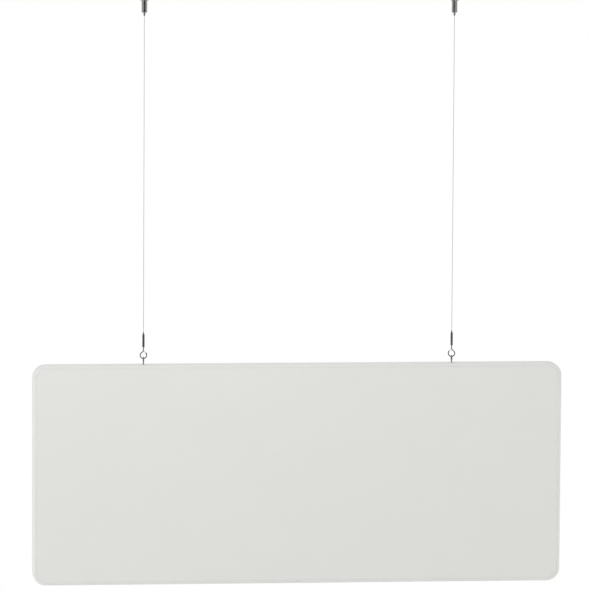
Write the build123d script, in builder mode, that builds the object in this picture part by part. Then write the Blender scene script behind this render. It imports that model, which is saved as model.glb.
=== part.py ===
from build123d import *
from math import asin, atan2, cos, degrees, pi, radians, sin, sqrt, tan
import os

# A fabric-covered acoustic panel that hangs on two steel wires from two ceiling fittings.
# Millimetres. X runs along the panel, Y is its thickness with the front at -Y, and +Z is up.
# The origin lies on the ceiling, midway between the two fittings.

# Overall layout
panel_width = 1200.0
panel_height = 500.0
suspension_spacing = 700.0
ceiling_to_panel = 822.0

# Cover: a front and a back sheet, sewn to a band that runs round the edge
cloth = 1.2
cover_gap = 0.3
corner_radius = 29.0
edge_radius = 7.0
seam_inset = 7.5
seam_round = 0.5
screw_slit_gap = 0.3

# Panel frame of timber, with felt on both faces and sound-absorbing batts in its bays
frame_depth = 28.0
felt = 4.5
rail_width = 45.0
stile_width = 45.0
centre_stile_width = 40.0
batt_gap = 0.4

# Ceiling base: a flange and a threaded spigot, held by one countersunk screw
flange_radius = 9.25
flange_thickness = 2.0
flange_round = 0.4
spigot_radius = 5.0
spigot_length = 8.5
screw_hole_radius = 2.25
screw_head_radius = 3.9
thread_gap = 0.05

# Gripper: a barrel with an inner cone, a sprung plunger with its nipple, and three balls
barrel_radius = 6.4
barrel_length = 27.0
barrel_chamfer = 1.3
collar_radius = 4.7
collar_thickness = 1.0
collar_rise = 1.0
cone_length = 7.5
cone_top_radius = 4.9
plunger_radius = 2.6
plunger_gap = 0.1
nipple_length = 7.0
nipple_tip_radius = 1.9
nipple_round = 0.3
plunger_bore_radius = 1.0
plunger_travel = 1.5
ball_radius = 1.0
ball_gap = 0.05
ball_count = 3
spring_wire = 0.6
spring_radius = 4.35
spring_half_turns = 8
spring_slack = 2.6

# Wire rope, cut where it flexes: at the nipple and at the crimp sleeve
wire_radius = 0.75
wire_end_clearance = 1.5
bend_gap = 0.15
bend_drop = 0.5
bend_length = 6.0

# Hanger: a crimp sleeve that holds a bent wire hook, and the leaf that closes the hook
sleeve_radius = 2.7
sleeve_length = 26.5
sleeve_round = 0.5
nose_length = 7.5
nose_tip_radius = 0.95
stem_depth = 8.0
stem_gap = 0.05
hook_wire_radius = 1.25
hook_radius = 7.2
hook_stem = 9.2
hook_shoulder = 9.6
hook_shoulder_radius = 3.0
hook_mouth_angle = 12.0
hook_tip_length = 4.0
gate_thickness = 0.6
gate_width = 2.6
gate_root_radius = 0.65
gate_side_gap = 0.3
gate_root_drop = 0.2
gate_reach = 2.4
gate_drop = 5.8

# Eye screw: one length of wire, bent to a ring in the YZ plane and screwed into the top rail
eye_wire_radius = 1.3
eye_radius = 6.0
eye_seat_gap = 0.3
eye_neck_radius = 2.6
eye_end_angle = 243.0
eye_neck_height = 1.85
eye_screw_depth = 30.0
eye_screw_radius = 1.7
eye_point_length = 4.0
eye_pilot_gap = 0.05

# Heights that follow from the sizes above
panel_thickness = frame_depth + 2 * (felt + cover_gap + cloth)
panel_top_z = -ceiling_to_panel
panel_centre_z = panel_top_z - panel_height / 2
front_plane = Plane.XZ.offset(panel_thickness / 2)
middle_plane = Plane.XZ

flange_bottom_z = -flange_thickness
spigot_bottom_z = flange_bottom_z - spigot_length
barrel_bottom_z = flange_bottom_z - barrel_length
spring_room = spring_half_turns / 2 * spring_wire + plunger_travel + spring_slack
collar_top_z = spigot_bottom_z - spring_room
collar_bottom_z = collar_top_z - collar_thickness
cone_top_z = collar_bottom_z - collar_rise
cone_bottom_z = cone_top_z - cone_length
mouth_radius = plunger_radius + plunger_gap
cone_angle = atan2(cone_top_radius - mouth_radius, cone_length)
chamber_radius = spigot_radius + thread_gap
nipple_tip_z = barrel_bottom_z - nipple_length
ball_ring_radius = wire_radius + ball_gap + ball_radius
ball_wall_radius = ball_ring_radius + (ball_radius + ball_gap) / cos(cone_angle)
ball_z = cone_bottom_z + (ball_wall_radius - mouth_radius) / tan(cone_angle)

ring_centre_rise = eye_neck_height + sqrt((eye_radius + eye_neck_radius) ** 2 - eye_neck_radius**2)
ring_centre_z = panel_top_z + ring_centre_rise
tilt_pivot_z = ring_centre_z + eye_radius - eye_wire_radius - eye_seat_gap - hook_wire_radius
hook_centre_z = tilt_pivot_z + hook_radius
shoulder_z = hook_centre_z + hook_shoulder
sleeve_bottom_z = shoulder_z + hook_stem
sleeve_top_z = sleeve_bottom_z + sleeve_length
nose_tip_z = sleeve_top_z + nose_length

swing_pivot_z = nipple_tip_z - bend_drop
side_pivot_z = swing_pivot_z - bend_length
hook_pivot_z = nose_tip_z + bend_gap
bend_inset = bend_gap + wire_radius

# Each side's name, and +1 where its hook opens towards +X or -1 where it opens towards -X.
# Both hooks open towards the panel's middle.
sides = {"left": 1, "right": -1}


def side_x(side):
    return -sides[side] * suspension_spacing / 2


eye_places = [(side_x(side), 0) for side in sides]


def finish(builder, label):
    builder.part.label = label
    export_step(builder.part, f"parts/{label}.step")


os.makedirs("parts", exist_ok=True)

# Blocks with the panel's rounded outline, from which the cover and its filling are cut.
# The covered block is the outside of the cloth, the lining is its inside, and the filling is the
# space of the frame and the felt.


def rounded_block(inset):
    """The panel's outline drawn in by an inset on every side, with its edges rounded to match."""
    with BuildPart() as block:
        with BuildSketch(middle_plane) as outline:
            with Locations((0, panel_centre_z)):
                RectangleRounded(panel_width - 2 * inset, panel_height - 2 * inset, corner_radius - inset)
        extrude(amount=panel_thickness / 2 - inset, both=True)
        rims = block.edges().group_by(Axis.Y)
        fillet(rims[0] + rims[-1], edge_radius - inset)
    return block


covered_block = rounded_block(0)
lining_block = rounded_block(cloth)
filling_block = rounded_block(cloth + cover_gap)

# Cover band: cloth that wraps the edge from the front seam to the back seam
with BuildPart() as cover_band:
    add(covered_block.part)
    add(lining_block.part, mode=Mode.SUBTRACT)
    with BuildSketch(front_plane) as window:
        with Locations((0, panel_centre_z)):
            RectangleRounded(
                panel_width - 2 * seam_inset, panel_height - 2 * seam_inset, corner_radius - seam_inset
            )
    extrude(amount=-panel_thickness, mode=Mode.SUBTRACT)
    with BuildSketch(Plane.XY.offset(panel_top_z)) as slits:
        with Locations(*eye_places):
            Circle(eye_wire_radius + screw_slit_gap)
    extrude(amount=-2 * cloth, mode=Mode.SUBTRACT)
finish(cover_band, "cover_band")


def cover_sheet(face_y):
    """A sheet of cloth for one face, cut to the seam line, with its outer rim rolled in at the seam."""
    towards_middle = -1 if face_y > 0 else 1
    with BuildPart() as sheet:
        with BuildSketch(Plane.XZ.offset(-face_y)) as outline:
            with Locations((0, panel_centre_z)):
                RectangleRounded(
                    panel_width - 2 * seam_inset, panel_height - 2 * seam_inset, corner_radius - seam_inset
                )
        extrude(amount=-towards_middle * cloth)
        rims = sheet.edges().group_by(Axis.Y)
        fillet(rims[-1] if face_y > 0 else rims[0], seam_round)
    return sheet


cover_front = cover_sheet(-panel_thickness / 2)
finish(cover_front, "cover_front")
cover_back = cover_sheet(panel_thickness / 2)
finish(cover_back, "cover_back")


# Felt faces: the filling's front and back layers, over the whole frame
def felt_face(plane):
    with BuildPart() as face:
        add(filling_block.part)
        split(bisect_by=plane, keep=Keep.TOP)
    return face


front_felt = felt_face(Plane((0, -frame_depth / 2, 0), z_dir=(0, -1, 0)))
finish(front_felt, "front_felt")
back_felt = felt_face(Plane((0, frame_depth / 2, 0), z_dir=(0, 1, 0)))
finish(back_felt, "back_felt")


# Timber frame: two full-length rails with the corners rounded, and three stiles between them
def frame_piece(low_x, high_x, low_z, high_z):
    """The part of the filling between two X and two Z limits, over the frame's depth."""
    with BuildPart() as piece:
        add(filling_block.part)
        with BuildSketch(middle_plane) as window:
            with Locations(((low_x + high_x) / 2, (low_z + high_z) / 2)):
                Rectangle(high_x - low_x, high_z - low_z)
        extrude(amount=frame_depth / 2, both=True, mode=Mode.INTERSECT)
    return piece


half_width = panel_width / 2
panel_bottom_z = panel_top_z - panel_height
rail_inner_top_z = panel_top_z - rail_width
rail_inner_bottom_z = panel_bottom_z + rail_width
stile_inner_x = half_width - stile_width
centre_half = centre_stile_width / 2

top_rail_blank = frame_piece(-half_width, half_width, rail_inner_top_z, panel_top_z)
with BuildPart() as top_rail:
    add(top_rail_blank.part)
    with BuildSketch(Plane.XY.offset(panel_top_z)) as pilots:
        with Locations(*eye_places):
            Circle(eye_screw_radius + eye_pilot_gap)
    extrude(amount=-eye_screw_depth - eye_pilot_gap, mode=Mode.SUBTRACT)
finish(top_rail, "top_rail")

bottom_rail = frame_piece(-half_width, half_width, panel_bottom_z, rail_inner_bottom_z)
finish(bottom_rail, "bottom_rail")
left_stile = frame_piece(-half_width, -stile_inner_x, rail_inner_bottom_z, rail_inner_top_z)
finish(left_stile, "left_stile")
right_stile = frame_piece(stile_inner_x, half_width, rail_inner_bottom_z, rail_inner_top_z)
finish(right_stile, "right_stile")
centre_stile = frame_piece(-centre_half, centre_half, rail_inner_bottom_z, rail_inner_top_z)
finish(centre_stile, "centre_stile")

# Acoustic batts: one in each bay of the frame
batt_low_z = rail_inner_bottom_z + batt_gap
batt_high_z = rail_inner_top_z - batt_gap
left_batt = frame_piece(-stile_inner_x + batt_gap, -centre_half - batt_gap, batt_low_z, batt_high_z)
finish(left_batt, "left_batt")
right_batt = frame_piece(centre_half + batt_gap, stile_inner_x - batt_gap, batt_low_z, batt_high_z)
finish(right_batt, "right_batt")


def section_plane(side):
    """The XZ plane through one side's wire, for profiles turned about that wire."""
    return Plane(origin=(side_x(side), 0, 0), x_dir=(1, 0, 0), z_dir=(0, -1, 0))


def wire_axis(side):
    return Axis((side_x(side), 0, 0), (0, 0, 1))


for side, opening in sides.items():
    x = side_x(side)
    section = section_plane(side)

    # Ceiling base: turned from bar, countersunk from below for the ceiling screw
    head_depth = screw_head_radius - screw_hole_radius
    with BuildPart() as ceiling_base:
        with BuildSketch(section) as profile:
            with BuildLine() as outline:
                Polyline(
                    (screw_hole_radius, 0),
                    (flange_radius, 0),
                    (flange_radius, flange_bottom_z),
                    (spigot_radius, flange_bottom_z),
                    (spigot_radius, spigot_bottom_z),
                    (screw_head_radius, spigot_bottom_z),
                    (screw_hole_radius, spigot_bottom_z + head_depth),
                    close=True,
                )
            make_face()
            rim = profile.vertices().sort_by_distance((flange_radius, flange_bottom_z))[0]
            fillet(rim, flange_round)
        revolve(axis=wire_axis(side))
    finish(ceiling_base, f"{side}_ceiling_base")

    # Gripper barrel: screws over the spigot, with the cone that drives the balls onto the wire
    with BuildPart() as gripper_barrel:
        with BuildSketch(section) as profile:
            with BuildLine() as outline:
                Polyline(
                    (chamber_radius, flange_bottom_z),
                    (barrel_radius, flange_bottom_z),
                    (barrel_radius, barrel_bottom_z),
                    (mouth_radius, barrel_bottom_z),
                    (mouth_radius, cone_bottom_z),
                    (cone_top_radius, cone_top_z),
                    (chamber_radius, cone_top_z),
                    close=True,
                )
            make_face()
            rim = profile.vertices().sort_by_distance((barrel_radius, barrel_bottom_z))[0]
            chamfer(rim, barrel_chamfer)
        revolve(axis=wire_axis(side))
    finish(gripper_barrel, f"{side}_gripper_barrel")

    # Gripper plunger: the nipple below the barrel, the ball cage in the cone and the spring collar
    with BuildPart() as gripper_plunger:
        with BuildSketch(section) as profile:
            with BuildLine() as outline:
                Polyline(
                    (plunger_bore_radius, collar_top_z),
                    (collar_radius, collar_top_z),
                    (collar_radius, collar_bottom_z),
                    (plunger_radius, collar_bottom_z),
                    (plunger_radius, barrel_bottom_z),
                    (nipple_tip_radius, nipple_tip_z),
                    (plunger_bore_radius, nipple_tip_z),
                    close=True,
                )
            make_face()
            rim = profile.vertices().sort_by_distance((nipple_tip_radius, nipple_tip_z))[0]
            fillet(rim, nipple_round)
        revolve(axis=wire_axis(side))
        for step in range(ball_count):
            turn = 360 / ball_count * step
            with BuildSketch(Plane((x, 0, ball_z), z_dir=Vector(1, 0, 0).rotate(Axis.Z, turn))) as window:
                Circle(ball_radius + ball_gap)
            extrude(amount=plunger_radius + plunger_gap, mode=Mode.SUBTRACT)
    finish(gripper_plunger, f"{side}_gripper_plunger")

    # Gripper balls: three in the plunger's windows, between the cone and the wire
    with BuildPart() as gripper_balls:
        with Locations((x, 0, ball_z)):
            with PolarLocations(ball_ring_radius, ball_count):
                Sphere(ball_radius)
    finish(gripper_balls, f"{side}_gripper_balls")

    # Gripper spring: a round-wire helix between the spigot's end and the plunger's collar.
    # Each half turn is an arc that starts and ends level, so one runs into the next.
    spring_top_z = spigot_bottom_z - spring_wire / 2
    spring_bottom_z = collar_top_z + spring_wire / 2
    half_pitch = (spring_top_z - spring_bottom_z) / spring_half_turns
    with BuildPart() as gripper_spring:
        with BuildLine() as coil:
            for step in range(spring_half_turns):
                start_side = 1 if step % 2 == 0 else -1
                low_z = spring_bottom_z + half_pitch * step
                ThreePointArc(
                    (x + start_side * spring_radius, 0, low_z),
                    (x, start_side * spring_radius, low_z + half_pitch / 2),
                    (x - start_side * spring_radius, 0, low_z + half_pitch),
                )
        with BuildSketch(Plane((x + spring_radius, 0, spring_bottom_z), z_dir=coil.line % 0)) as wire_section:
            Circle(spring_wire / 2)
        sweep(path=coil.line)
    finish(gripper_spring, f"{side}_gripper_spring")

    # Wire rope: the end in the gripper, the short bend below the nipple, and the free length.
    # Where two lengths meet at a bend, both end in a dome, so that they swing past each other.
    wire_top_z = spigot_bottom_z - wire_end_clearance
    wire_spans = {
        "wire_end": (wire_top_z - wire_radius, swing_pivot_z + bend_inset),
        "wire_bend": (swing_pivot_z - bend_inset, side_pivot_z + bend_inset),
        "suspension_wire": (side_pivot_z - bend_inset, hook_pivot_z + bend_inset),
    }
    for span, (high_z, low_z) in wire_spans.items():
        with BuildPart() as wire:
            with BuildSketch(Plane((x, 0, low_z))) as wire_section:
                Circle(wire_radius)
            extrude(amount=high_z - low_z)
            with Locations((x, 0, low_z), (x, 0, high_z)):
                Sphere(wire_radius)
        finish(wire, f"{side}_{span}")

    # Crimp sleeve: pressed over the wire's end above and the hook's stem below
    with BuildPart() as crimp_sleeve:
        with BuildSketch(section) as profile:
            with BuildLine() as outline:
                Polyline((0, sleeve_bottom_z), (sleeve_radius, sleeve_bottom_z), (sleeve_radius, sleeve_top_z))
                ThreePointArc(
                    (sleeve_radius, sleeve_top_z),
                    (
                        nose_tip_radius + (sleeve_radius - nose_tip_radius) * 0.4,
                        sleeve_top_z + nose_length / 2,
                    ),
                    (nose_tip_radius, nose_tip_z),
                )
                Polyline((nose_tip_radius, nose_tip_z), (0, nose_tip_z), (0, sleeve_bottom_z))
            make_face()
            rim = profile.vertices().sort_by_distance((sleeve_radius, sleeve_bottom_z))[0]
            fillet(rim, sleeve_round)
        revolve(axis=wire_axis(side))
        with BuildSketch(Plane((x, 0, sleeve_bottom_z))) as socket:
            Circle(hook_wire_radius + stem_gap)
        extrude(amount=stem_depth + stem_gap, mode=Mode.SUBTRACT)
    finish(crimp_sleeve, f"{side}_crimp_sleeve")

    # Hook: one length of wire. The stem runs down the wire's line, the back slants out to the
    # bowl's tangent point, and the bowl turns under the eye and up to the tip.
    tangent_angle = asin(hook_radius / hook_shoulder)
    back = (
        x - opening * hook_radius * cos(tangent_angle),
        hook_centre_z + hook_radius * sin(tangent_angle),
    )
    mouth_angle = radians(hook_mouth_angle)
    mouth = (
        x + opening * hook_radius * cos(mouth_angle),
        hook_centre_z + hook_radius * sin(mouth_angle),
    )
    tip = (
        mouth[0] - opening * hook_tip_length * sin(mouth_angle),
        mouth[1] + hook_tip_length * cos(mouth_angle),
    )
    stem_top_z = sleeve_bottom_z + stem_depth
    with BuildPart() as hook:
        with BuildLine(Plane.XZ) as hook_line:
            FilletPolyline((x, stem_top_z), (x, shoulder_z), back, radius=hook_shoulder_radius)
            ThreePointArc(back, (x, tilt_pivot_z), mouth)
            Line(mouth, tip)
        with BuildSketch(Plane((x, 0, stem_top_z))) as wire_section:
            Circle(hook_wire_radius)
        sweep(path=hook_line.line)
        with Locations((tip[0], 0, tip[1])):
            Sphere(hook_wire_radius)
    finish(hook, f"{side}_hook")

    # Hook gate: a strip of spring steel rooted at the stem, whose end rests inside the hook's tip
    gate_root = (
        x + opening * (hook_wire_radius + gate_side_gap + gate_root_radius),
        shoulder_z - gate_root_drop,
    )
    gate_middle = (gate_root[0] + opening * gate_reach / 2, gate_root[1] - gate_drop / 2)
    gate_length = sqrt(gate_reach**2 + gate_drop**2)
    gate_slant = degrees(atan2(-gate_drop, opening * gate_reach))
    with BuildPart() as hook_gate:
        with BuildSketch(middle_plane) as side_view:
            with Locations(gate_middle):
                SlotCenterToCenter(gate_length, gate_thickness, rotation=gate_slant)
            with Locations(gate_root):
                Circle(gate_root_radius)
        extrude(amount=gate_width / 2, both=True)
    finish(hook_gate, f"{side}_hook_gate")

    # Eye screw: the shank rises from the rail, bends at the neck and closes a ring round the hook
    neck_z = panel_top_z + eye_neck_height
    neck_turn = asin(eye_neck_radius / (eye_radius + eye_neck_radius))
    ring_start = (eye_radius * sin(neck_turn), ring_centre_z - eye_radius * cos(neck_turn))
    end_angle = radians(eye_end_angle)
    ring_end = (eye_radius * cos(end_angle), ring_centre_z + eye_radius * sin(end_angle))
    ring_top = (0, ring_centre_z + eye_radius)
    neck_middle_angle = (pi / 2 - neck_turn) / 2
    neck_middle = (
        eye_neck_radius * (1 - cos(neck_middle_angle)),
        neck_z + eye_neck_radius * sin(neck_middle_angle),
    )
    thread_bottom_z = panel_top_z - eye_screw_depth
    eye_plane = Plane(origin=(x, 0, 0), x_dir=(0, 1, 0), z_dir=(1, 0, 0))
    with BuildPart() as eye_screw:
        with BuildLine(eye_plane) as eye_line:
            Line((0, panel_top_z - cloth), (0, neck_z))
            ThreePointArc((0, neck_z), neck_middle, ring_start)
            ThreePointArc(ring_start, ring_top, ring_end)
        with BuildSketch(Plane((x, 0, panel_top_z - cloth))) as wire_section:
            Circle(eye_wire_radius)
        sweep(path=eye_line.line)
        with BuildSketch(section) as thread_profile:
            with BuildLine() as thread_line:
                Polyline(
                    (0, panel_top_z - cloth),
                    (eye_wire_radius, panel_top_z - cloth),
                    (eye_screw_radius, panel_top_z - cloth - cover_gap),
                    (eye_screw_radius, thread_bottom_z + eye_point_length),
                    (0, thread_bottom_z),
                    close=True,
                )
            make_face()
        revolve(axis=wire_axis(side))
    finish(eye_screw, f"{side}_eye_screw")
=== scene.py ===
from math import asin, cos, exp, pi, radians, sin, sqrt, tau

import bpy
import numpy as np
from mathutils import Matrix, Vector


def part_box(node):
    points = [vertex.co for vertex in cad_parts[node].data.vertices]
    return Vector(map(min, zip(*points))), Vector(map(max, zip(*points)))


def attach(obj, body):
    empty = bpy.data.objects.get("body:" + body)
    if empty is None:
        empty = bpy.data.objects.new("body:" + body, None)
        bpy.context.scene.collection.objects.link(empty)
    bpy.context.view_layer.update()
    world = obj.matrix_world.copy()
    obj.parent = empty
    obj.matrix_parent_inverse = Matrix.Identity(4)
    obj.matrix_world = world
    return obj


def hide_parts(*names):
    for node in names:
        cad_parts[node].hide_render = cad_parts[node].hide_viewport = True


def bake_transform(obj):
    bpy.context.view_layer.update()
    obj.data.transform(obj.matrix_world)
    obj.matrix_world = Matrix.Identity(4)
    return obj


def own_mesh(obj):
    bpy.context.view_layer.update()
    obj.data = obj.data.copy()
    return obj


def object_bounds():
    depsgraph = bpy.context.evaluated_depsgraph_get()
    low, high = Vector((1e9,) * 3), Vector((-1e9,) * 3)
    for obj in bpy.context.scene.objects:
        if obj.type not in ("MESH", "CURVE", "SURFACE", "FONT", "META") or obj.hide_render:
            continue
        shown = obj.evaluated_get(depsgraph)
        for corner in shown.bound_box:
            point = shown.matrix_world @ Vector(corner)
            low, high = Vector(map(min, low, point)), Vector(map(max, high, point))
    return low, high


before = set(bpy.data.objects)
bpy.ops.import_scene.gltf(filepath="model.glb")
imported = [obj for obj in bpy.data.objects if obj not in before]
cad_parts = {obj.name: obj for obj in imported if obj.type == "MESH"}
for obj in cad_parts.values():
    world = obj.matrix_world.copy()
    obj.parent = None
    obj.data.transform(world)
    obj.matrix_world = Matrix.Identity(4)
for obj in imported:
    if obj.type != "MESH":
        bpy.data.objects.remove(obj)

cad_low, cad_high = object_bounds()
sides = {"left": 1, "right": -1}

# Camera: a long lens, a little to the left of the panel and above the ceiling line, so that the
# panel's top edge shows as a thin band. Place in metres, angles in degrees.
camera_place = (-1.3364, -12.9083, 0.7420)
camera_turn = 5.8785
camera_rise = -6.2009
camera_roll = 0.3296
camera_lens = 352.26
camera_sensor = 36.0
camera_clip = (0.1, 200)

turn, rise, roll = (radians(angle) for angle in (camera_turn, camera_rise, camera_roll))
forward = Vector((sin(turn) * cos(rise), cos(turn) * cos(rise), sin(rise)))
level_right = Vector((cos(turn), -sin(turn), 0))
level_up = level_right.cross(forward)
right = cos(roll) * level_right + sin(roll) * level_up
up = cos(roll) * level_up - sin(roll) * level_right
lens = bpy.data.cameras.new("camera")
lens.lens = camera_lens
lens.sensor_width = camera_sensor
lens.clip_start, lens.clip_end = camera_clip
camera = bpy.data.objects.new("camera", lens)
bpy.context.scene.collection.objects.link(camera)
camera.matrix_world = Matrix.Translation(camera_place) @ Matrix((right, up, -forward)).transposed().to_4x4()
bpy.context.scene.camera = camera
bpy.context.scene.view_settings.view_transform = "Standard"


# Studio: a white surround that the camera and the polished metal see, an even fill, a large soft
# lamp high in front, a weaker one low at each side for the panel's edges, a black card that only
# shows in the metal, and a pale floor well below the panel.
fill_front = 0.60
fill_around = 1.20
fill_overhead = 0.66
front_level = 0.45
lamp_power = 29.0
lamp_size = 1.8
lamp_place = (-0.6, -2.1, 0.7)
lamp_aim = (0.0, 0.0, -1.0)
edge_lamp_place = (2.4, -0.5, -2.0)
edge_lamp_size = 1.6
edge_lamp_power = 12.0
card_place = (-0.205, -0.9, -0.4)
card_half_size = (0.46, 0.9)
card_level = 0.012
floor_drop = 1.4
floor_half_size = 40.0
floor_colour = (0.90, 0.90, 0.895, 1)
floor_fade = (1.3, 2.6)
floor_roughness = 0.9
front_edge = (-0.3, 0.6)


class Shade:
    """What a shader node gives out. Arithmetic on it adds Math nodes to the same finish."""

    def __init__(self, finish, socket):
        self.finish = finish
        self.socket = socket

    def maths(self, operation, *values):
        return self.finish.node("Math", {"operation": operation}, dict(enumerate(values)))

    def __add__(self, other):
        return self.maths("ADD", self, other)

    def __sub__(self, other):
        return self.maths("SUBTRACT", self, other)

    def __rsub__(self, other):
        return self.maths("SUBTRACT", other, self)

    def __mul__(self, other):
        return self.maths("MULTIPLY", self, other)

    def __pow__(self, other):
        return self.maths("POWER", self, other)

    def __abs__(self):
        return self.maths("ABSOLUTE", self)

    __radd__ = __add__
    __rmul__ = __mul__

    def sine(self):
        return self.maths("SINE", self)

    def most(self, other):
        return self.maths("MAXIMUM", self, other)

    def ramp(self, low, high):
        """Rises smoothly from 0 at low to 1 at high."""
        limits = {"From Min": low, "From Max": high}
        return self.finish.node(
            "MapRange", {"interpolation_type": "SMOOTHSTEP"}, {"Value": self, **limits}
        )


class Finish:
    """The node tree of a material or of the world."""

    def __init__(self, owner):
        self.owner = owner
        owner.use_nodes = True
        self.tree = owner.node_tree
        self.tree.nodes.clear()

    def node(self, kind, settings=None, inputs=None, output=0):
        """Adds a node, sets it up, then gives its sockets their values or links."""
        made = self.tree.nodes.new("ShaderNode" + kind)
        for name, value in (settings or {}).items():
            setattr(made, name, value)
        for name, value in (inputs or {}).items():
            if isinstance(value, Shade):
                self.tree.links.new(value.socket, made.inputs[name])
            else:
                made.inputs[name].default_value = value
        return Shade(self, made.outputs[output]) if made.outputs else None

    def axes(self, vector):
        """The three parts of a vector."""
        return [self.node("SeparateXYZ", {}, {"Vector": vector}, axis) for axis in "XYZ"]

    def tint(self, factor, colour, other, mode="MIX"):
        """A colour between two others, or one laid over the other in a blend mode."""
        settings = {"data_type": "RGBA", "blend_type": mode}
        return self.node("Mix", settings, {0: factor, 6: colour, 7: other}, 2)

    def noise(self, vector, scale, detail=2.0, roughness=0.5):
        inputs = {"Vector": vector, "Scale": scale, "Detail": detail, "Roughness": roughness}
        return self.node("TexNoise", {}, inputs)

    def bump(self, height, distance, strength=1.0):
        return self.node("Bump", {}, {"Height": height, "Distance": distance, "Strength": strength})

    def done(self, inputs):
        """Joins the surface's shader to the output, and gives back the material."""
        shader = self.node("BsdfPrincipled", {}, inputs)
        self.node("OutputMaterial", {}, {"Surface": shader})
        return self.owner


def new_finish(name):
    return Finish(bpy.data.materials.new(name))


white = (1, 1, 1, 1)
world = bpy.data.worlds.new("surround")
bpy.context.scene.world = world
surround = Finish(world)
seen = surround.node("LightPath", {}, {}, "Is Camera Ray")
mirrored = surround.node("LightPath", {}, {}, "Is Glossy Ray")
seen_through = surround.node("LightPath", {}, {}, "Is Transmission Ray")
across, away, above = surround.axes(surround.node("TexCoord", {}, {}, "Generated"))
toward_front = (0 - away).ramp(*front_edge)
room_level = 1 - toward_front * (1 - front_level)
fill = fill_around - toward_front * (fill_around - fill_front)
fill = fill - above.most(0) * (fill - fill_overhead)
level = seen.most(seen_through).most(mirrored * room_level)
level = level + (1 - seen.most(mirrored).most(seen_through)) * fill
backdrop = surround.node("Background", {}, {"Color": white, "Strength": level})
surround.node("OutputWorld", {}, {"Surface": backdrop})


def soft_lamp(name, place, size, power):
    """A round area lamp aimed at the panel, which doesn't show in the metal."""
    light = bpy.data.lights.new(name, "AREA")
    light.shape = "DISK"
    light.size = size
    light.energy = power
    lamp = bpy.data.objects.new(name, light)
    bpy.context.scene.collection.objects.link(lamp)
    lamp.location = place
    lamp.rotation_euler = (Vector(lamp_aim) - Vector(place)).to_track_quat("-Z", "Y").to_euler()
    lamp.visible_glossy = False


soft_lamp("soft_lamp", lamp_place, lamp_size, lamp_power)
for side, toward in sides.items():
    edge_x, edge_y, edge_z = edge_lamp_place
    soft_lamp(f"{side}_edge_lamp", (-toward * edge_x, edge_y, edge_z), edge_lamp_size, edge_lamp_power)

pale = new_finish("pale_floor")
floor_x, floor_y, floor_up = pale.axes(pale.node("NewGeometry", {}, {}, "Position"))
reach = (floor_x * floor_x + floor_y * floor_y) ** 0.5
far = reach.ramp(*floor_fade) * pale.node("LightPath", {}, {}, "Is Camera Ray")
matt = pale.node("BsdfPrincipled", {}, {"Base Color": floor_colour, "Roughness": floor_roughness})
bright = pale.node("Emission", {}, {"Color": white, "Strength": 1.0})
pale.node("OutputMaterial", {}, {"Surface": pale.node("MixShader", {}, {0: far, 1: matt, 2: bright})})


def plain_sheet(name, corners, material):
    """A flat four-cornered sheet of the studio."""
    mesh = bpy.data.meshes.new(name)
    mesh.from_pydata(corners, [], [(0, 1, 2, 3)])
    mesh.materials.append(material)
    sheet = bpy.data.objects.new(name, mesh)
    bpy.context.scene.collection.objects.link(sheet)
    return sheet


quarters = [(-1, -1), (1, -1), (1, 1), (-1, 1)]
floor_z = cad_low.z - floor_drop
plain_sheet("floor", [(a * floor_half_size, b * floor_half_size, floor_z) for a, b in quarters], pale.owner)

black = new_finish("black_card")
black.node("OutputMaterial", {}, {"Surface": black.node("Emission", {}, {"Strength": card_level})})
card_x, card_y, card_z = card_place
card_width, card_height = card_half_size
card = plain_sheet(
    "card", [(card_x + a * card_width, card_y, card_z + b * card_height) for a, b in quarters], black.owner
)
card.visible_camera = False
card.visible_diffuse = False
card.visible_transmission = False
card.visible_shadow = False


# Wire ropes: each is 1.5 mm steel rope of six strands laid round a core. A short length comes out
# of the gripper, and the long one below it hangs taut down to the crimp sleeve.
rope_radius = 0.00075
rope_strands = 6
rope_lay = 0.0105
rope_ring_step = 0.0008
points_per_strand = 6
strand_relief = 0.13
rope_colour = (0.74, 0.74, 0.73, 1)
# rope_shadow is the painted shade colour of the grooves between the strands, and also the darker tone of
# the random mottle.
rope_shadow = (0.42, 0.42, 0.41, 1)
bend_start_z = -0.036
rope_split_z = -0.0405
side_bend_end_z = -0.046
rope_middle_z = -0.4
sleeve_entry_z = -0.74865
wires_round_strand = 19
wire_lay = 0.0042
mottle_scale = 900.0
rope_x = {side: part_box(f"{side}_suspension_wire")[0].x + rope_radius for side in sides}


def grid_faces(rows, columns, first=0, closed=True, flip=False):
    """Quads over a grid of points stored row by row, joined round its columns if closed."""
    row = np.arange(rows - 1)[:, None] * columns + first
    column = np.arange(columns if closed else columns - 1)[None, :]
    beyond = (column + 1) % columns
    corners = (row + column, row + beyond, row + columns + beyond, row + columns + column)
    faces = np.stack(np.broadcast_arrays(*corners), axis=-1).reshape(-1, 4)
    return (faces[:, ::-1] if flip else faces).tolist()


def new_piece(name, points, faces, material, smooth=True):
    """An object at the origin with the given points and faces."""
    mesh = bpy.data.meshes.new(name)
    mesh.from_pydata([tuple(point) for point in np.asarray(points).reshape(-1, 3).tolist()], [], faces)
    mesh.materials.append(material)
    mesh.polygons.foreach_set("use_smooth", [smooth] * len(mesh.polygons))
    mesh.update()
    piece = bpy.data.objects.new(name, mesh)
    bpy.context.scene.collection.objects.link(piece)
    return piece


def capped(rings):
    """Points and faces of a closed skin over rings of points, with a fan at each end."""
    rings = np.asarray(rings)
    count, around = rings.shape[:2]
    points = np.concatenate([rings.reshape(-1, 3), [rings[0].mean(0), rings[-1].mean(0)]])
    faces = grid_faces(count, around)
    last = (count - 1) * around
    for step in range(around):
        faces.append((step + 1 if step + 1 < around else 0, step, count * around))
        faces.append((last + step, last + (step + 1) % around, count * around + 1))
    return points, faces


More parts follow.
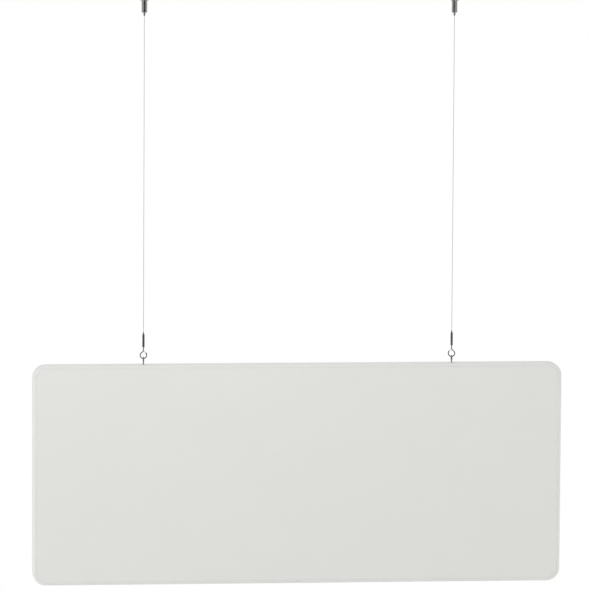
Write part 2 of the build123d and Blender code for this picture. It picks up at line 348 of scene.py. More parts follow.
def rope_material():
    """Zinc-coated steel wire: pale and bright on the strands, with painted shade darkening the grooves
    between them.
    """
    steel = new_finish("rope_steel")
    place = steel.node("TexCoord", {}, {}, "Object")
    x, y, z = steel.axes(place)
    across = abs(x) - abs(rope_x["left"])
    distance = (across * across + y * y) ** 0.5
    crown = distance.ramp(rope_radius * (1 - strand_relief), rope_radius * 0.98)
    angle = steel.node("Math", {"operation": "ARCTAN2"}, {0: y, 1: across})
    wires = (angle * wires_round_strand + z * (tau / wire_lay)).sine()
    # Painted shade: the grooves between the strands take the darker rope_shadow colour, and the strands'
    # tops the pale one.
    colour = steel.tint(crown, rope_shadow, rope_colour)
    mottle = steel.noise(place, mottle_scale, 3.0)
    return steel.done(
        {
            "Base Color": steel.tint(mottle * 0.18, colour, rope_shadow),
            "Metallic": 0.55,
            "Roughness": 0.34 + mottle * 0.12,
            "Normal": steel.bump(wires, 0.00003, 0.5),
        }
    )


def route_line(route):
    """Points read, evenly spaced, from the smooth spline that has the route as its control points."""
    curve = bpy.data.curves.new("route", "CURVE")
    curve.dimensions = "3D"
    spline = curve.splines.new("NURBS")
    spline.points.add(len(route) - 1)
    for point, place in zip(spline.points, route):
        point.co = (*place, 1)
    spline.order_u = 3
    spline.use_endpoint_u = True
    spline.resolution_u = 64
    holder = bpy.data.objects.new("route", curve)
    mesh = bpy.data.meshes.new_from_object(holder)
    line = np.array([vertex.co for vertex in mesh.vertices])
    bpy.data.objects.remove(holder)
    bpy.data.curves.remove(curve)
    bpy.data.meshes.remove(mesh)
    run = np.concatenate([[0], np.cumsum(np.linalg.norm(np.diff(line, axis=0), axis=1))])
    even = np.linspace(0, run[-1], round(run[-1] / rope_ring_step) + 1)
    return np.stack([np.interp(even, run, line[:, axis]) for axis in range(3)], axis=-1)


def rope_rings(line):
    """Rings of a stranded rope on a hanging line. Each point keeps to its strand as the rope turns."""
    around = rope_strands * points_per_strand
    start = np.arange(around) / around * tau
    bulge = np.abs(np.sin(start * rope_strands / 2))
    radius = rope_radius * (1 - strand_relief + strand_relief * bulge**0.7)
    angle = start[None, :] + line[:, 2:] / rope_lay * tau
    offset = np.stack([radius * np.cos(angle), radius * np.sin(angle), np.zeros_like(angle)], axis=-1)
    return line[:, None, :] + offset


def dome(ring, direction, steps=4, short_of_pole=0.4):
    """Shrinking rings that round off a rope's end."""
    centre = ring.mean(0)
    made = []
    for step in range(1, steps + 1):
        lean = step / (steps + short_of_pole) * pi / 2
        offset = np.array((0, 0, direction * rope_radius * sin(lean)))
        made.append(centre + (ring - centre) * cos(lean) + offset)
    return made


rope_steel = rope_material()
hung_ropes = {}
for side in sides:
    x = rope_x[side]
    wire_top_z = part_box(f"{side}_wire_end")[1].z - rope_radius

    line = route_line([(x, 0, wire_top_z), (x, 0, bend_start_z), (x, 0, rope_split_z)])
    rings = rope_rings(line)
    rings = np.concatenate([dome(rings[0], 1)[::-1], rings])
    points, faces = capped(rings)
    lead = new_piece(f"{side}_rope_lead", points, faces, rope_steel)
    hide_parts(f"{side}_wire_end", f"{side}_wire_bend")
    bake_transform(lead)

    heights = (rope_split_z, side_bend_end_z, rope_middle_z, sleeve_entry_z)
    line = route_line([(x, 0, height) for height in heights])
    rings = rope_rings(line)
    rings = np.concatenate([rings, dome(rings[-1], -1)])
    points, faces = capped(rings)
    rope = new_piece(f"{side}_wire_rope", points, faces, rope_steel)
    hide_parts(f"{side}_suspension_wire")
    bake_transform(rope)
    hung_ropes[side] = (lead, rope, line)


# Grippers: base, barrel, plunger and balls keep their turned shapes. The base, barrel and plunger
# are polished nickel over brass, the balls hardened steel and the spring drawn steel wire.
nickel_colour = (0.42, 0.415, 0.40, 1)
nickel_haze = (0.32, 0.315, 0.30, 1)
ball_colour = (0.50, 0.50, 0.51, 1)
spring_colour = (0.36, 0.36, 0.37, 1)
smear_scale = 160.0
rub_scale = 35.0
wander_scale = 420.0


def metal(name, colour, haze, roughness, groove, groove_depth):
    """Bright metal with fine rings from turning or drawing, faint smears and rubbed patches."""
    made = new_finish(name)
    place = made.node("TexCoord", {}, {}, "Object")
    x, y, z = made.axes(place)
    smear = made.noise(place, smear_scale, 4.0, 0.6)
    rub = made.noise(place, rub_scale, 3.0)
    wander = made.noise(place, wander_scale, 2.0)
    rings = (z * (tau / groove) + wander * 3.0).sine()
    return made.done(
        {
            "Base Color": made.tint(smear.ramp(0.35, 0.75) * 0.5, colour, haze),
            "Metallic": 1.0,
            "Roughness": roughness + smear * 0.10 + rub.ramp(0.5, 0.8) * 0.06,
            "Normal": made.bump(rings, groove_depth, 0.35),
        }
    )


nickel = metal(
    "polished_nickel", nickel_colour, nickel_haze, roughness=0.07, groove=0.00022, groove_depth=0.0000012
)
ball_steel = metal(
    "hardened_steel", ball_colour, spring_colour, roughness=0.08, groove=0.00050, groove_depth=0.0000006
)
drawn_steel = metal(
    "drawn_spring_steel", spring_colour, nickel_haze, roughness=0.18, groove=0.00030, groove_depth=0.000002
)


def dress(node, material):
    """Gives a frame node that keeps its own shape a detailed material."""
    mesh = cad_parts[node].data
    mesh.materials.clear()
    mesh.materials.append(material)


for side in sides:
    dress(f"{side}_ceiling_base", nickel)
    dress(f"{side}_gripper_barrel", nickel)
    dress(f"{side}_gripper_plunger", nickel)
    dress(f"{side}_gripper_balls", ball_steel)


# Gripper springs: round steel wire coiled between the base's spigot and the plunger's collar, with
# its end turns closed.
spring_wire = 0.0003
spring_radius = 0.00435
spring_turns = 4
spring_closed_turns = 0.75
spring_points = 60
spring_sides = 16

for side in sides:
    low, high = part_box(f"{side}_gripper_spring")
    x = (low.x + high.x) / 2
    turns = np.linspace(0, spring_turns, spring_turns * spring_points + 1)
    open_share = np.clip((turns - spring_closed_turns) / (spring_turns - 2 * spring_closed_turns), 0, 1)
    closed_rise = 2 * spring_wire * spring_closed_turns
    open_rise = high.z - low.z - 2 * spring_wire - 2 * closed_rise
    closed_share = np.clip(turns / spring_closed_turns, 0, 1)
    closed_share += np.clip((turns - spring_turns) / spring_closed_turns + 1, 0, 1)
    height = low.z + spring_wire + closed_share * closed_rise + open_share * open_rise
    around = turns * tau
    outward = np.stack([np.cos(around), np.sin(around), np.zeros_like(around)], axis=-1)
    line = np.stack([np.full_like(around, x), np.zeros_like(around), height], axis=-1)
    line = line + spring_radius * outward
    angles = np.arange(spring_sides) / spring_sides * tau
    offset = outward[:, None, :] * np.cos(angles)[None, :, None]
    offset = offset + np.array((0, 0, 1)) * np.sin(angles)[None, :, None]
    points, faces = capped(line[:, None, :] + spring_wire * offset)
    spring = new_piece(f"{side}_coil_spring", points, faces, drawn_steel)
    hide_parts(f"{side}_gripper_spring")
    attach(spring, "ceiling_fittings")
    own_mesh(spring)


# Crimp sleeves: turned from soft steel and pressed hard onto the rope above and the hook's stem
# below, which leaves three shallow bands round each.
sleeve_radius = 0.0027
sleeve_rim = 0.0005
nose_tip_radius = 0.00095
nose_length = 0.0075
press_depth = 0.00016
press_width = 0.0016
press_places = (0.22, 0.5, 0.78)
socket_radius = 0.0013
socket_end_radius = 0.0004
socket_depth = 0.00805
rim_steps = 6
body_start = 0.0009
body_rings = 90
nose_steps = 14
nose_swell = 1.5
nose_end_share = 0.95
turned_sides = 64
sleeve_colour = (0.20, 0.20, 0.19, 1)
sleeve_haze = (0.14, 0.14, 0.135, 1)


def turned(profile, x):
    """Rings about the wire's line from a profile of (radius, height) pairs."""
    angles = np.arange(turned_sides) / turned_sides * tau
    return [
        np.stack([x + radius * np.cos(angles), radius * np.sin(angles), np.full(turned_sides, height)], 1)
        for radius, height in profile
    ]


sleeve_steel = metal(
    "pressed_sleeve", sleeve_colour, sleeve_haze, roughness=0.22, groove=0.00035, groove_depth=0.000003
)
for side in sides:
    low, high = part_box(f"{side}_crimp_sleeve")
    x = (low.x + high.x) / 2
    body_top_z = high.z - nose_length
    body_length = body_top_z - low.z
    socket_end_z = low.z + socket_depth
    profile = [(socket_end_radius, socket_end_z), (socket_radius, socket_end_z), (socket_radius, low.z)]
    for step in range(rim_steps + 1):
        lean = step / rim_steps * pi / 2
        profile.append((sleeve_radius - sleeve_rim * (1 - sin(lean)), low.z + sleeve_rim * (1 - cos(lean))))
    for height in np.linspace(low.z + body_start, body_top_z, body_rings):
        share = (height - low.z) / body_length
        press = sum(exp(-(((share - place) * body_length / press_width) ** 4)) for place in press_places)
        profile.append((sleeve_radius - press_depth * press, height))
    for step in range(1, nose_steps + 1):
        share = step / nose_steps
        swell = nose_tip_radius + (sleeve_radius - nose_tip_radius) * (1 - share) ** nose_swell
        profile.append((swell, body_top_z + nose_length * share))
    profile.append((rope_radius * nose_end_share, high.z))
    points, faces = capped(turned(profile, x))
    sleeve = new_piece(f"{side}_sleeve", points, faces, sleeve_steel)
    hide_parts(f"{side}_crimp_sleeve")
    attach(sleeve, f"{side}_hanger")
    lead, rope, line = hung_ropes[side]


# Hooks: one length of bright steel wire each, whose bowl passes through the panel's eye, with a
# rounded tip. A gate of spring steel, about half a millimetre clear of the wire, closes the mouth.
hook_wire = 0.00125
hook_radius = 0.0072
hook_shoulder = 0.0096
hook_shoulder_radius = 0.003
hook_mouth_angle = 12.0
hook_tip_length = 0.004
hook_step = 0.0004
wire_sides = 32
same_point = 1e-7
hook_colour = (0.28, 0.28, 0.27, 1)
hook_haze = (0.20, 0.20, 0.19, 1)


def arc(centre, radius, start, end, step):
    """Points round a centre, in a plane, from one angle to another."""
    count = max(3, round(abs(end - start) * radius / step))
    return [
        (centre[0] + radius * cos(angle), centre[1] + radius * sin(angle))
        for angle in np.linspace(start, end, count + 1)
    ]


def straight(start, end, step):
    length = sqrt((end[0] - start[0]) ** 2 + (end[1] - start[1]) ** 2)
    count = max(2, round(length / step))
    return [
        (start[0] + (end[0] - start[0]) * share, start[1] + (end[1] - start[1]) * share)
        for share in np.linspace(0, 1, count + 1)
    ]


def bent_wire(line, place, radii):
    """Rings along a line drawn in a plane. place turns the line's (across, up, out) into a point."""
    line = np.array(line)
    keep = np.concatenate([[True], np.linalg.norm(np.diff(line, axis=0), axis=1) > same_point])
    line = line[keep]
    radii = np.asarray(radii)[keep] if np.ndim(radii) else np.full(len(line), radii)
    ahead = np.gradient(line, axis=0)
    ahead /= np.linalg.norm(ahead, axis=1)[:, None]
    angles = np.arange(wire_sides) / wire_sides * tau
    rings = []
    for (across, height), (run, climb), radius in zip(line, ahead, radii):
        aside = radius * np.cos(angles)
        out = radius * np.sin(angles)
        rings.append([place(across - climb * a, height + run * a, b) for a, b in zip(aside, out)])
    return np.array(rings)


def rounded_end(line, radii, radius, steps=5, short_of_pole=0.3):
    """Carries a wire's line on past its end, shrinking to a dome."""
    line = list(line)
    radii = list(radii)
    end, before = np.array(line[-1]), np.array(line[-2])
    ahead = (end - before) / np.linalg.norm(end - before)
    for step in range(1, steps + 1):
        lean = step / (steps + short_of_pole) * pi / 2
        line.append(tuple(end + ahead * radius * sin(lean)))
        radii.append(radius * cos(lean))
    return line, radii


hook_steel = metal(
    "bright_hook_wire", hook_colour, hook_haze, roughness=0.12, groove=0.00026, groove_depth=0.0000015
)
gate_steel = metal(
    "gate_strip", rope_colour, hook_colour, roughness=0.16, groove=0.00020, groove_depth=0.0000015
)
for side, opening in sides.items():
    low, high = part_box(f"{side}_hook")
    x = rope_x[side]
    centre_z = low.z + hook_wire + hook_radius
    shoulder_z = centre_z + hook_shoulder
    tangent = asin(hook_radius / hook_shoulder)
    turn_in = pi / 2 - tangent
    corner_run = hook_shoulder_radius * np.tan(turn_in / 2)

    line = straight((0, high.z), (0, shoulder_z + corner_run), hook_step)
    bend_centre = (-hook_shoulder_radius, shoulder_z + corner_run)
    line += arc(bend_centre, hook_shoulder_radius, 0, -turn_in, hook_step)
    back = (-hook_radius * cos(tangent), centre_z + hook_radius * sin(tangent))
    line += straight(line[-1], back, hook_step)
    mouth_angle = radians(hook_mouth_angle)
    line += arc((0, centre_z), hook_radius, pi - tangent, tau + mouth_angle, hook_step)
    mouth = line[-1]
    tip = (
        mouth[0] - hook_tip_length * sin(mouth_angle),
        mouth[1] + hook_tip_length * cos(mouth_angle),
    )
    line += straight(mouth, tip, hook_step)
    radii = [hook_wire] * len(line)
    line, radii = rounded_end(line, radii, hook_wire)
    rings = bent_wire(line, lambda a, b, c, x=x, opening=opening: (x + opening * a, c, b), radii)
    points, faces = capped(rings if opening < 0 else rings[:, ::-1])
    hook = new_piece(f"{side}_hook_wire", points, faces, hook_steel)
    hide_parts(f"{side}_hook")
    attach(hook, f"{side}_hanger")
    dress(f"{side}_hook_gate", gate_steel)


# Eye screws: the same bright wire, bent to a ring across the hook, with a wood-screw thread cut on
# the shank where it turns into the top rail.
eye_wire = 0.0013
eye_radius = 0.006
eye_neck_radius = 0.0026
eye_neck_height = 0.00185
eye_end_angle = 243.0
thread_crest = 0.0017
thread_core = 0.0012
thread_pitch = 0.0018
thread_length = 0.030
thread_point = 0.004
cloth_thickness = 0.0012
thread_sides = 28
thread_rings = 300
thread_sharpness = 5
thread_run_in = 0.003
point_least = 0.02

panel_top_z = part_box("cover_band")[1].z
for side in sides:
    x = rope_x[side]
    neck_turn = asin(eye_neck_radius / (eye_radius + eye_neck_radius))
    neck_z = panel_top_z + eye_neck_height
    ring_z = neck_z + sqrt((eye_radius + eye_neck_radius) ** 2 - eye_neck_radius**2)
    line = straight((0, panel_top_z - cloth_thickness), (0, neck_z), hook_step)
    line += arc((eye_neck_radius, neck_z), eye_neck_radius, pi, pi / 2 + neck_turn, hook_step)
    line += arc((0, ring_z), eye_radius, neck_turn - pi / 2, radians(eye_end_angle), hook_step)
    radii = [eye_wire] * len(line)
    rings = bent_wire(line, lambda a, b, c, x=x: (x + c, a, b), radii)
    points, faces = capped(rings)
    ring = new_piece(f"{side}_eye", points, faces, hook_steel)
    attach(ring, "panel")

    start_z = panel_top_z - cloth_thickness
    depths = np.linspace(0, thread_length - cloth_thickness, thread_rings)
    angles = np.arange(thread_sides) / thread_sides * tau
    wave = (depths[:, None] / thread_pitch - angles[None, :] / tau) % 1
    crest = np.clip(1 - np.abs(wave - 0.5) * thread_sharpness, 0, 1)
    run_in = np.clip(depths / thread_run_in, 0, 1)[:, None]
    point = np.clip((thread_length - cloth_thickness - depths) / thread_point, point_least, 1)[:, None]
    core = thread_core + (eye_wire - thread_core) * (1 - run_in)
    radius = (core + (thread_crest - thread_core) * crest * run_in) * point
    height = (start_z - depths)[:, None]
    thread = np.stack(
        np.broadcast_arrays(x + radius * np.cos(angles), radius * np.sin(angles), height), axis=-1
    )
    points, faces = capped(thread[:, ::-1])
    shank = new_piece(f"{side}_screw_thread", points, faces, hook_steel)
    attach(shank, "panel")
    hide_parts(f"{side}_eye_screw")


# Cover: undyed woven cloth in three parts. A front and a back sheet are sewn to a band that runs
# round the edge, 7.5 mm in from it. The seam lies in a fine groove, and the cloth gathers a
# little at the corners and round the eye screws.
corner_radius = 0.029
edge_radius = 0.007
seam_lip = 0.0007
seam_pull = 0.00006
seam_pull_reach = 0.0040
cloth_pitch = 0.005
seam_reach = 0.020
seam_steps = 15
band_step = 0.0011
gather_reach = 0.009
gathers = {(-1, 1): 0.00018, (1, 1): 0.00022, (-1, -1): 0.00035, (1, -1): 0.00070}
gather_count = 9
slack = 0.00016
screw_dimple = 0.0007
screw_dimple_reach = 0.0035
screw_ripple = 0.00030
screw_ripple_reach = 0.013
screw_fine_step = 0.0012
screw_fine_reach = 0.018
ripple_count = 5
ripple_start = 0.003
gather_edge = 0.006
corner_steps = 14
seam_crowding = 2.2
band_crowding = 1.35
stitch_pitch = 0.0036
stitch_reach = 0.0022
fibre_scale = 2600.0
streak_scale = 330.0
cloud_scale = 9.0
thread_width = 0.00078
cloth_colour = (0.735, 0.735, 0.718, 1)
cloth_dark = (0.640, 0.640, 0.615, 1)
cloth_light = (0.800, 0.800, 0.780, 1)

band_low, band_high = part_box("cover_band")
sheet_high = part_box("cover_front")[1]
half_width = band_high.x
half_height = (band_high.z - band_low.z) / 2
half_thickness = band_high.y
middle_z = (band_high.z + band_low.z) / 2
seam_inset = band_high.x - sheet_high.x
screw_x = abs(rope_x["left"])


def cloth_material():
    """Plain weave of matt yarn, with a faint mix of lighter and darker fibres, and painted shade in the low
    places between the yarns.
    """
    cloth = new_finish("woven_cloth")
    lie = cloth.node("Attribute", {"attribute_name": "lie"}, {}, "Vector")
    warp_at, weft_at, from_seam = cloth.axes(lie)
    warp = (warp_at * (pi / thread_width)).sine()
    weft = (weft_at * (pi / thread_width)).sine()
    over = warp * weft
    yarns = (abs(warp) * (0.62 + over * 0.38)).most(abs(weft) * (0.62 - over * 0.38))
    fibres = cloth.noise(lie, fibre_scale, 2.0, 0.6)
    streaks = cloth.noise(lie, streak_scale, 3.0, 0.6)
    clouds = cloth.noise(lie, cloud_scale, 2.0)
    stitches = abs((warp_at * (pi / stitch_pitch)).sine()) * (1 - from_seam.ramp(0.0, stitch_reach))
    mixed = cloth.tint(streaks.ramp(0.3, 0.7) * 0.35, cloth_colour, cloth_light)
    mixed = cloth.tint(fibres.ramp(0.45, 0.75) * 0.35, mixed, cloth_dark)
    # Painted shade: where the yarns lie low, between and under the threads, the colour goes toward
    # cloth_dark.
    mixed = cloth.tint((1 - yarns.ramp(0.15, 0.75)) * 0.55, mixed, cloth_dark)
    mixed = cloth.tint(clouds.ramp(0.3, 0.7) * 0.06, mixed, cloth_dark)
    height = yarns + fibres * 0.25 - stitches * 1.2
    return cloth.done(
        {
            "Base Color": mixed,
            "Roughness": 0.88 + fibres * 0.08,
            "Specular IOR Level": 0.25,
            "Sheen Weight": 0.12,
            "Sheen Roughness": 0.5,
            "Normal": cloth.bump(height, 0.00010, 0.25),
        }
    )


def seam_dip(from_seam):
    """How far the cloth lies below the flat face near a seam: a tight lip, then a soft hollow."""
    near = np.clip(seam_lip - from_seam, 0, seam_lip)
    lip = seam_lip - np.sqrt(seam_lip**2 - near**2)
    return lip * 0.85 + seam_pull * np.exp(-((from_seam / seam_pull_reach) ** 2))


def corner_gathers(x, z, from_seam):
    """Small folds that fan out from each corner's seam, deepest at the lower right."""
    dip = np.zeros_like(x)
    up_from_middle = z - middle_z
    for (toward_x, toward_z), depth in gathers.items():
        across = x * toward_x - (half_width - corner_radius)
        rise = up_from_middle * toward_z - (half_height - corner_radius)
        angle = np.arctan2(rise, across)
        inside = np.clip(np.minimum(across, rise) / gather_edge + 1, 0, 1)
        fold = 0.5 + 0.5 * np.cos(angle * 4 * gather_count + toward_x)
        dip += depth * fold * inside * np.exp(-((from_seam / gather_reach) ** 2))
    return dip


def slack_dip(x, z):
    """The slight unevenness of cloth stretched over felt."""
    waves = (
        np.sin(x * 21.0 + z * 9.0)
        + np.sin(x * 9.5 - z * 27.0 + 1.3)
        + 0.7 * np.sin(x * 43.0 + z * 31.0 + 0.6)
    )
    return slack * (0.5 + waves / 5.4)


def spread_steps(half, pitch):
    """Places from one seam to the opposite one, close together near both."""
    near = seam_reach * (np.arange(seam_steps) / seam_steps) ** seam_crowding
    count = round(2 * (half - seam_reach) / pitch)
    middle = np.linspace(-half + seam_reach, half - seam_reach, count + 1)
    return np.concatenate([-half + near, middle, (half - near)[::-1]])


def round_corners(x, z, half_x, half_z, radius):
    """Rounds the corners of a grid's rings to fit a rounded outline, and gives each point's inset."""
    from_side = half_x - np.abs(x)
    from_top = half_z - np.abs(z)
    inset = np.minimum(from_side, from_top)
    bend = np.maximum(radius - inset, 1e-6)
    beyond = np.abs(from_side - from_top)
    lean = pi / 4 * np.clip(beyond / bend, 0, 1)
    angle = pi / 4 + np.where(from_top < from_side, lean, -lean)
    inside = beyond < bend
    new_x = np.where(inside, half_x - inset - bend + bend * np.cos(angle), np.abs(x))
    new_z = np.where(inside, half_z - inset - bend + bend * np.sin(angle), np.abs(z))
    return np.where(x < 0, -1, 1) * new_x, np.where(z < 0, -1, 1) * new_z, inset


def shell(outer, inner, closed):
    """Points and faces of a sheet with an outer and an inner side, closed along its edges."""
    rows, columns = outer.shape[:2]
    total = rows * columns
    faces = grid_faces(rows, columns, 0, closed)
    faces += grid_faces(rows, columns, total, closed, flip=True)
    top = np.arange(columns)
    bottom = (rows - 1) * columns + top
    count = columns if closed else columns - 1
    for step in range(count):
        beyond = (step + 1) % columns
        faces.append((top[beyond], top[step], total + top[step], total + top[beyond]))
        faces.append((bottom[step], bottom[beyond], total + bottom[beyond], total + bottom[step]))
    if not closed:
        for row in range(rows - 1):
            a, b = row * columns, (row + 1) * columns
            faces.append((a, b, total + b, total + a))
            a, b = a + columns - 1, b + columns - 1
            faces.append((b, a, total + a, total + b))
    return np.concatenate([outer.reshape(-1, 3), inner.reshape(-1, 3)]), faces


def add_lie(piece, lie):
    """Stores how the cloth lies: its place along the warp and the weft, and from its seam."""
    attribute = piece.data.attributes.new("lie", "FLOAT_VECTOR", "POINT")
    both_sides = np.concatenate([lie.reshape(-1, 3), lie.reshape(-1, 3)])
    attribute.data.foreach_set("vector", both_sides.astype(np.float32).ravel())


woven = cloth_material()
seam_half_x = half_width - seam_inset
seam_half_z = half_height - seam_inset
for face, toward in {"front": -1, "back": 1}.items():
    across, rise = np.meshgrid(
        spread_steps(seam_half_x, cloth_pitch), spread_steps(seam_half_z, cloth_pitch), indexing="xy"
    )
    x, z, inset = round_corners(across, rise, seam_half_x, seam_half_z, corner_radius - seam_inset)
    z = z + middle_z
    dip = seam_dip(inset) + corner_gathers(x, z, inset) + slack_dip(x, z + toward)
    outer = np.stack([x, toward * (half_thickness - dip), z], axis=-1)
    inner = np.stack([x, np.full_like(x, toward * (half_thickness - cloth_thickness)), z], axis=-1)
    outer, inner = (outer, inner) if toward < 0 else (outer[:, ::-1], inner[:, ::-1])
    points, faces = shell(outer, inner, closed=False)
    sheet = new_piece(f"{face}_cloth", points, faces, woven)
    lie = np.stack([x, z, inset], axis=-1)
    add_lie(sheet, lie if toward < 0 else lie[:, ::-1])
    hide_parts(f"cover_{face}")
    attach(sheet, "panel")


def outline_run():
    """Points round the outline from the band's joint, with outward directions and the run so far."""
    straight_x = half_width - corner_radius
    straight_z = half_height - corner_radius
    near_screw = np.arange(-screw_fine_reach, screw_fine_reach + 1e-9, screw_fine_step)
    far_apart = np.arange(-straight_x, straight_x, cloth_pitch)
    clear = np.abs(np.abs(far_apart) - screw_x) > screw_fine_reach + cloth_pitch / 2
    top = np.concatenate([-far_apart[clear], screw_x + near_screw, near_screw - screw_x])
    top = np.sort(top)[::-1]
    count = round(2 * straight_z / cloth_pitch)
    side = np.linspace(-straight_z, straight_z, count, endpoint=False)
    bends = np.linspace(0, pi / 2, corner_steps, endpoint=False)
    points = []
    for angle in bends:
        points.append((straight_x, straight_z, angle))
    points += [(x, straight_z, pi / 2) for x in top]
    for angle in bends:
        points.append((-straight_x, straight_z, pi / 2 + angle))
    points += [(-straight_x, -z, pi) for z in side]
    for angle in bends:
        points.append((-straight_x, -straight_z, pi + angle))
    points += [(x, -straight_z, pi * 1.5) for x in far_apart]
    for angle in bends:
        points.append((straight_x, -straight_z, pi * 1.5 + angle))
    points += [(straight_x, z, tau) for z in side]
    x, z, angle = np.array(points).T
    outward = np.stack([np.cos(angle), np.sin(angle)], axis=-1)
    place = np.stack([x, z], axis=-1) + corner_radius * outward
    joint = int(np.argmin(np.abs(place[:, 0]) + place[:, 1]))
    order = np.append(np.roll(np.arange(len(place)), -joint), joint)
    place, outward = place[order], outward[order]
    run = np.concatenate([[0], np.cumsum(np.linalg.norm(np.diff(place, axis=0), axis=1))])
    return place, outward, run


place, outward, run = outline_run()
roll_length = edge_radius * pi / 2
flat_run = seam_inset - edge_radius
side_run = 2 * (half_thickness - edge_radius)
band_width = 2 * (flat_run + roll_length) + side_run
count = round(band_width / 2 / band_step)
half_steps = band_width / 2 * (np.arange(count + 1) / count) ** band_crowding
steps = np.concatenate([half_steps, (band_width - half_steps[:-1])[::-1]])
from_front = np.minimum(steps, band_width - steps)
lean = np.clip((from_front - flat_run) / edge_radius, 0, pi / 2)
profile_in = np.where(
    from_front < flat_run, seam_inset - from_front, edge_radius - edge_radius * np.sin(lean)
)
profile_y = half_thickness - edge_radius + edge_radius * np.cos(lean)
past_roll = np.clip(from_front - flat_run - roll_length, 0, None)
profile_y = np.where(past_roll > 0, half_thickness - edge_radius - past_roll, profile_y)
facing = np.where(steps < band_width / 2, -1, 1)
profile_y = profile_y * facing
normal_out = np.sin(lean)
normal_y = np.cos(lean) * facing


def band_side(dip):
    """The band's points at a depth below its ideal face."""
    reach_in = profile_in[:, None] + dip * normal_out[:, None]
    x = place[None, :, 0] - reach_in * outward[None, :, 0]
    z = place[None, :, 1] - reach_in * outward[None, :, 1] + middle_z
    y = profile_y[:, None] - dip * normal_y[:, None]
    return np.stack([x, y, z], axis=-1)


ideal = band_side(np.zeros((len(steps), len(run))))
x, y, z = ideal[..., 0], ideal[..., 1], ideal[..., 2]
from_seam = np.broadcast_to(from_front[:, None], x.shape)
dip = seam_dip(from_seam) + corner_gathers(x, z, from_seam) + slack_dip(x + y * 3, z)
on_top = z > middle_z + half_height - 2 * edge_radius
from_screw = np.hypot(np.abs(x) - screw_x, y)
round_screw = np.arctan2(y, np.abs(x) - screw_x)
dimple = screw_dimple * np.exp(-((from_screw / screw_dimple_reach) ** 2))
fan = 0.5 + 0.5 * np.cos(ripple_count * round_screw)
ripple = screw_ripple * np.exp(-((from_screw / screw_ripple_reach) ** 2)) * fan
dip = dip + on_top * (dimple + ripple * np.clip(from_screw / ripple_start, 0, 1))
points, faces = shell(band_side(dip), band_side(np.full_like(dip, cloth_thickness)), closed=False)
band = new_piece("edge_band", points, faces, woven)
band_lie = [np.broadcast_to(run, x.shape), np.broadcast_to(steps[:, None], x.shape), from_seam]
add_lie(band, np.stack(band_lie, axis=-1))
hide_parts("cover_band")
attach(band, "panel")


# Felt faces: needled wool felt glued over both faces of the frame, so that the cloth lies smooth.
felt_round = 0.0055
felt_pitch = 0.012
felt_fuzz = 0.00010
felt_colour = (0.62, 0.61, 0.58, 1)
felt_dark = (0.45, 0.44, 0.42, 1)


def slab(low, high, corner, edge_round, rounded_toward, pitch, fuzz):
    """A flat soft slab. Its long edges are rounded on the sides named by rounded_toward."""
    half_x, half_z = (high.x - low.x) / 2, (high.z - low.z) / 2
    centre_x, centre_z = (high.x + low.x) / 2, (high.z + low.z) / 2
    across, rise = np.meshgrid(spread_steps(half_x, pitch), spread_steps(half_z, pitch), indexing="xy")
    x, z, inset = round_corners(across, rise, half_x, half_z, corner)
    near = np.clip(edge_round - inset, 0, edge_round)
    fall = edge_round - np.sqrt(edge_round**2 - near**2)
    rough = fuzz * (np.sin(x * 910 + z * 370) * np.sin(z * 830 - x * 290) - 1)
    x, z = x + centre_x, z + centre_z
    sides_of_slab = []
    for toward, flat_y in ((-1, low.y), (1, high.y)):
        other_y = high.y if toward < 0 else low.y
        drop = fall - rough if toward in rounded_toward else np.zeros_like(x)
        drop = np.minimum(drop, abs(other_y - flat_y) * (0.5 if len(rounded_toward) == 2 else 1))
        sides_of_slab.append(np.stack([x, flat_y - toward * drop, z], axis=-1))
    return shell(*sides_of_slab, closed=False)


def fibre_material(name, colour, dark, scale, layers):
    """Matted fibre, with paler and darker wisps and, where it is laid in layers, fine bands."""
    fibre = new_finish(name)
    where = fibre.node("TexCoord", {}, {}, "Object")
    x, y, z = fibre.axes(where)
    wisps = fibre.noise(where, scale, 5.0, 0.65)
    clumps = fibre.noise(where, scale / 9, 3.0)
    bands = ((y * layers) + clumps * 3).sine()
    shade = fibre.tint(wisps.ramp(0.35, 0.7) * 0.7, colour, dark)
    return fibre.done(
        {
            "Base Color": fibre.tint(clumps.ramp(0.4, 0.75) * 0.25, shade, dark),
            "Roughness": 0.95,
            "Specular IOR Level": 0.15,
            "Normal": fibre.bump(wisps + bands * 0.1, 0.0006, 0.6),
        }
    )


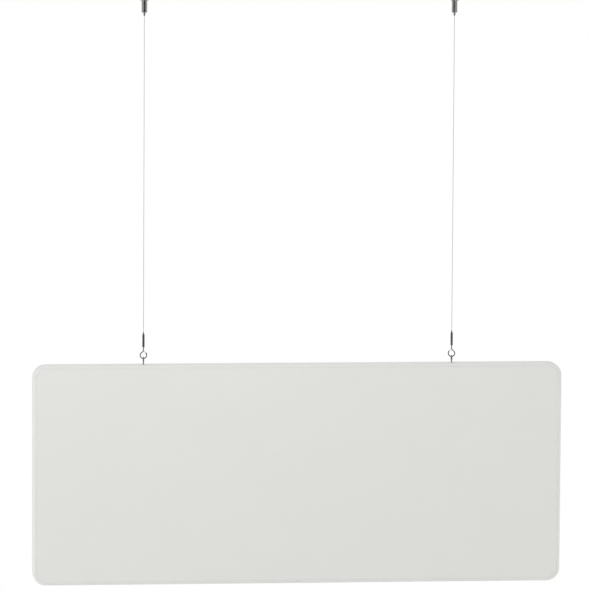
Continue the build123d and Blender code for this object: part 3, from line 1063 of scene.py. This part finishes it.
wool_felt = fibre_material("wool_felt", felt_colour, felt_dark, scale=1400.0, layers=900.0)
for face, toward in {"front": -1, "back": 1}.items():
    low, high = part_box(f"{face}_felt")
    points, faces = slab(
        low, high, corner_radius - (half_width - high.x), felt_round, (toward,), felt_pitch, felt_fuzz
    )
    felt = new_piece(f"{face}_felt_face", points, faces, wool_felt)
    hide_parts(f"{face}_felt")
    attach(felt, "panel")


# Frame: planed pine, two full-length rails and three stiles, with a batt of pressed stone wool
# cut to fill each of its two bays.
pine_colour = (0.60, 0.42, 0.24, 1)
pine_dark = (0.40, 0.25, 0.12, 1)
batt_colour = (0.50, 0.46, 0.33, 1)
batt_dark = (0.34, 0.30, 0.20, 1)
batt_round = 0.003
batt_corner = 0.003
batt_fuzz = 0.0004
grain_warp_scale = 22.0
grain_rings = 900
pore_scale = 1500.0


def pine_material(name, along_x):
    """Planed pine, with growth rings drawn out along the piece and fine pores."""
    pine = new_finish(name)
    stretch = (0.06, 1, 1) if along_x else (1, 1, 0.06)
    where = pine.node(
        "Mapping", {}, {"Vector": pine.node("TexCoord", {}, {}, "Object"), "Scale": stretch}
    )
    warp = pine.noise(where, grain_warp_scale, 3.0)
    x, y, z = pine.axes(where)
    rings = ((x + y * 0.7 + z) * grain_rings + warp * 16).sine()
    pores = pine.noise(where, pore_scale, 2.0)
    shade = pine.tint(rings.ramp(-0.2, 1.0) * 0.6, pine_colour, pine_dark)
    return pine.done(
        {
            "Base Color": pine.tint(pores.ramp(0.5, 0.8) * 0.3, shade, pine_dark),
            "Roughness": 0.55 + pores * 0.2,
            "Normal": pine.bump(rings * 0.4 + pores, 0.0001, 0.5),
        }
    )


rail_pine = pine_material("pine_rail", True)
stile_pine = pine_material("pine_stile", False)
for node in ("top_rail", "bottom_rail"):
    dress(node, rail_pine)
for node in ("left_stile", "right_stile", "centre_stile"):
    dress(node, stile_pine)

stone_wool = fibre_material("stone_wool", batt_colour, batt_dark, scale=700.0, layers=1600.0)
for side in sides:
    low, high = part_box(f"{side}_batt")
    points, faces = slab(low, high, batt_corner, batt_round, (-1, 1), felt_pitch, batt_fuzz)
    batt = new_piece(f"{side}_wool_batt", points, faces, stone_wool)
    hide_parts(f"{side}_batt")
    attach(batt, "panel")
